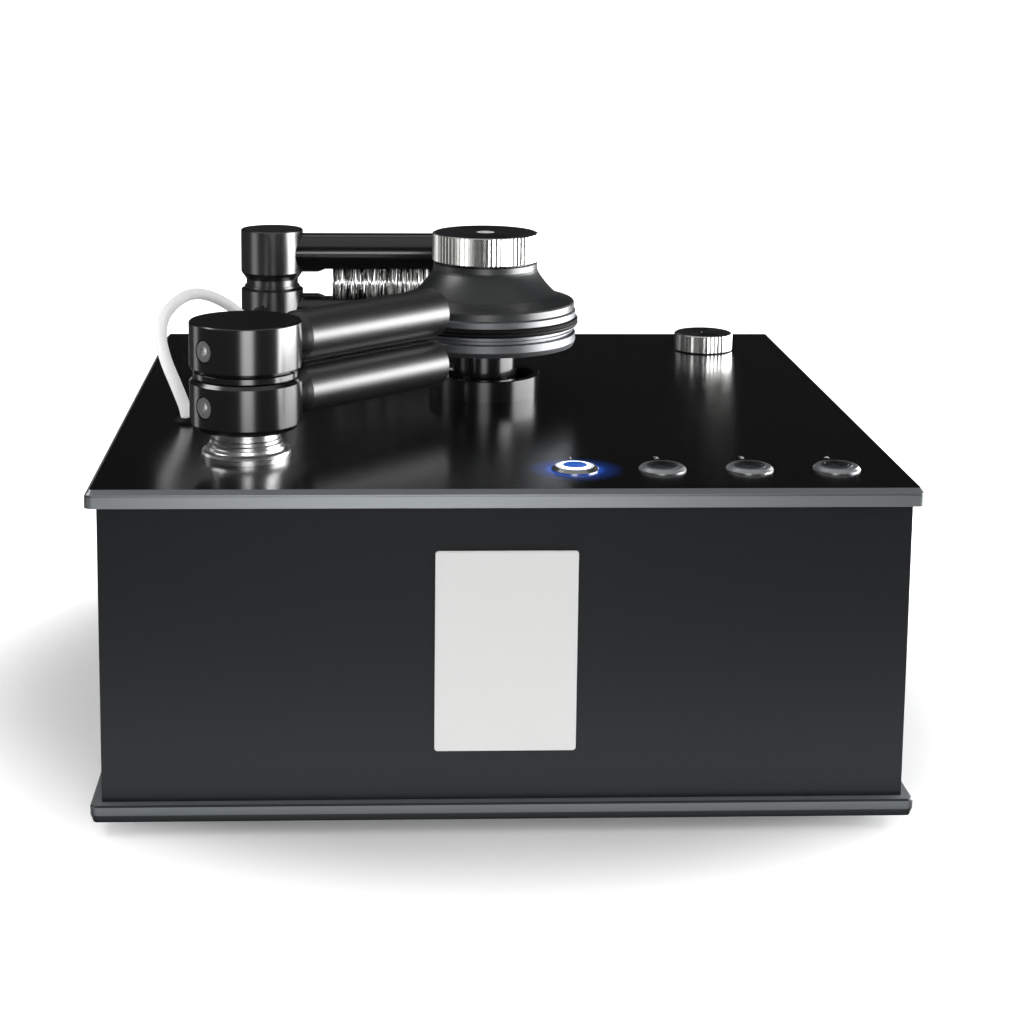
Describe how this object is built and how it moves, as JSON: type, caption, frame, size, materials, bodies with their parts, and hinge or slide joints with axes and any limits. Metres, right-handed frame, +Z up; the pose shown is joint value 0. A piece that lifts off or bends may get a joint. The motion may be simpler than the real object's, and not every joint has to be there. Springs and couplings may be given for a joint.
{
  "type": "record cleaning machine",
  "caption": "Cabinet-built record cleaner with a clamped platter stack, twin suction arm, twin brush arm, push buttons and a filler cap on its deck.",
  "frame": {"origin": "on the floor under the middle of the outline, drain stub included", "axes": "+X to the right, +Y from the front panel to the rear panel, +Z up along the spindle"},
  "size_m": [0.37, 0.406, 0.2438],
  "materials": {
    "satin_black_paint": "satin black lacquered aluminium",
    "black_anodised": "turned and black anodised aluminium",
    "matte_black": "bead-blasted black anodised aluminium",
    "bare_aluminium": "machined aluminium",
    "polished_steel": "polished stainless steel",
    "nickel_brass": "nickel-plated brass",
    "black_rubber": "nitrile rubber",
    "black_plastic": "moulded black nylon",
    "milky_silicone": "milky silicone hose",
    "natural_plastic": "natural polyethylene",
    "badge_white": "pale satin plate",
    "lever_red": "red coated steel",
    "board_green": "circuit board",
    "galvanised": "galvanised steel case",
    "velvet_black": "short black velvet pile",
    "bristle_mix": "black and white goat-hair mix",
    "light_ring": "translucent light ring"
  },
  "bodies": {
    "cabinet": {"deck_plate": "satin_black_paint", "bottom_plate": "satin_black_paint", "front_panel": "satin_black_paint", "left_panel": "satin_black_paint", "right_panel": "satin_black_paint", "rear_panel": "satin_black_paint", "corner_posts": "bare_aluminium", "machine_screws": "polished_steel", "rubber_feet": "black_rubber", "front_badge": "badge_white", "mains_inlet": "black_plastic", "fan_frame": "black_plastic", "drain_valve": "nickel_brass", "clean_tank": "natural_plastic", "filler_neck": "natural_plastic", "waste_tank": "natural_plastic", "vacuum_turbine": "bare_aluminium", "inner_hoses": "milky_silicone", "dosing_pump": "black_plastic", "control_board": "board_green", "power_supply": "galvanised", "gear_motor": "bare_aluminium", "bearing_housing": "black_anodised", "suction_post_base": "polished_steel", "brush_post_base": "polished_steel", "liquid_hose": "milky_silicone", "hose_grommet": "black_rubber", "button_housings": "polished_steel", "button_light_rings": "light_ring"},
    "rocker": {"power_rocker": "black_plastic"},
    "fan": {"fan_rotor": "black_plastic"},
    "drain_handle": {"drain_lever": "lever_red"},
    "cap": {"filler_cap": "polished_steel"},
    "turntable": {"drive_shaft": "polished_steel", "platter": "black_anodised", "platter_seal": "black_rubber"},
    "clamp": {"clamp_seal": "black_rubber", "clamp_plate": "black_anodised", "clamp_cone": "matte_black"},
    "clamp_grip": {"clamp_knob": "polished_steel", "clamp_knob_disc": "black_anodised"},
    "suction_arm": {"suction_post_tube": "black_anodised", "suction_hub_lower": "black_anodised", "suction_hub_upper": "black_anodised", "suction_tube_lower": "black_anodised", "suction_tube_upper": "black_anodised", "suction_pads": "velvet_black", "suction_hub_screws": "polished_steel"},
    "brush_arm": {"brush_post_shaft": "polished_steel", "brush_hub": "black_anodised", "brush_bar_lower": "black_anodised", "brush_bar_upper": "black_anodised", "bristles_lower": "bristle_mix", "bristles_upper": "bristle_mix", "hose_barb": "polished_steel"},
    "button_1": {"rotation_button": "polished_steel"},
    "button_2": {"direction_button": "polished_steel"},
    "button_3": {"liquid_button": "polished_steel"},
    "button_4": {"vacuum_button": "polished_steel"}
  },
  "joints": [
    {"name": "platter_spin", "type": "hinge", "parent": "cabinet", "child": "turntable", "pos_m": [0, 0.005, 0.188], "axis": [0, 0, 1], "continuous": true},
    {"name": "clamp_lift", "type": "slide", "parent": "turntable", "child": "clamp", "axis": [0, 0, 1], "range_m": [0, 0.045]},
    {"name": "clamp_knob_turn", "type": "hinge", "parent": "clamp", "child": "clamp_grip", "pos_m": [0, 0.005, 0.233], "axis": [0, 0, 1], "range_deg": [0, 180]},
    {"name": "suction_arm_swing", "type": "hinge", "parent": "cabinet", "child": "suction_arm", "pos_m": [-0.118, -0.1383, 0.1975], "axis": [0, 0, 1], "range_deg": [-60, 8]},
    {"name": "brush_arm_swing", "type": "hinge", "parent": "cabinet", "child": "brush_arm", "pos_m": [-0.118, 0.126, 0.1975], "axis": [0, 0, 1], "range_deg": [-47, 25], "deforming": ["liquid_hose"]},
    {"name": "rotation_button_press", "type": "slide", "parent": "cabinet", "child": "button_1", "axis": [0, 0, -1], "range_m": [0, 0.0015], "stiffness_N_per_m": 250, "springref_m": -0.006},
    {"name": "direction_button_press", "type": "slide", "parent": "cabinet", "child": "button_2", "axis": [0, 0, -1], "range_m": [0, 0.0015], "stiffness_N_per_m": 250, "springref_m": -0.006},
    {"name": "liquid_button_press", "type": "slide", "parent": "cabinet", "child": "button_3", "axis": [0, 0, -1], "range_m": [0, 0.0015], "stiffness_N_per_m": 250, "springref_m": -0.006},
    {"name": "vacuum_button_press", "type": "slide", "parent": "cabinet", "child": "button_4", "axis": [0, 0, -1], "range_m": [0, 0.0015], "stiffness_N_per_m": 250, "springref_m": -0.006},
    {"name": "filler_cap_lift", "type": "slide", "parent": "cabinet", "child": "cap", "axis": [0, 0, 1], "range_m": [0, 0.03]},
    {"name": "power_rocker_tilt", "type": "hinge", "parent": "cabinet", "child": "rocker", "pos_m": [0.0255, 0.17, 0.076], "axis": [1, 0, 0], "range_deg": [0, 16]},
    {"name": "drain_lever_turn", "type": "hinge", "parent": "cabinet", "child": "drain_handle", "pos_m": [-0.068, 0.183, 0.042], "axis": [0, 0, 1], "range_deg": [0, 90]},
    {"name": "fan_spin", "type": "hinge", "parent": "cabinet", "child": "fan", "pos_m": [-0.118, 0.159, 0.08], "axis": [0, 1, 0], "continuous": true}
  ]
}
